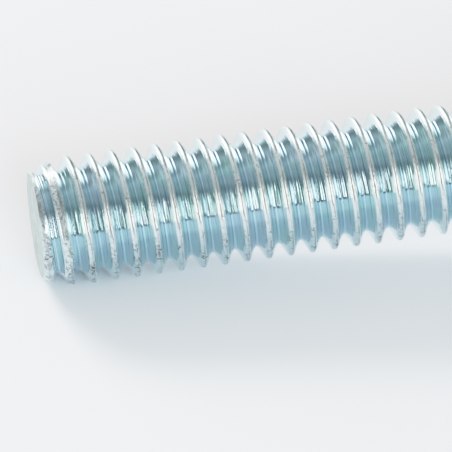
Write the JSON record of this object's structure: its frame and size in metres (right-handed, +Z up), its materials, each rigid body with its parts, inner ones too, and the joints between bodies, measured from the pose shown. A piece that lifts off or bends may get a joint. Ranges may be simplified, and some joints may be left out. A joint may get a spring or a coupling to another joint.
{
  "type": "countersunk machine screw",
  "caption": "Slotted countersunk machine screw, fully threaded, lying on its thread and the rim of its head.",
  "frame": {"origin": "on the floor, under the middle of the screw's bounding box", "axes": "+Z up, +X along the floor towards the head; the screw's own axis lies in the XZ plane and rises 4.74 degrees towards the head"},
  "size_m": [0.0162, 0.0054, 0.0054],
  "materials": {
    "zinc_plate": "bright zinc plate with a blue-green passivate on steel, rolled thread"
  },
  "bodies": {
    "root": {"machine_screw": "zinc_plate"}
  },
  "joints": []
}
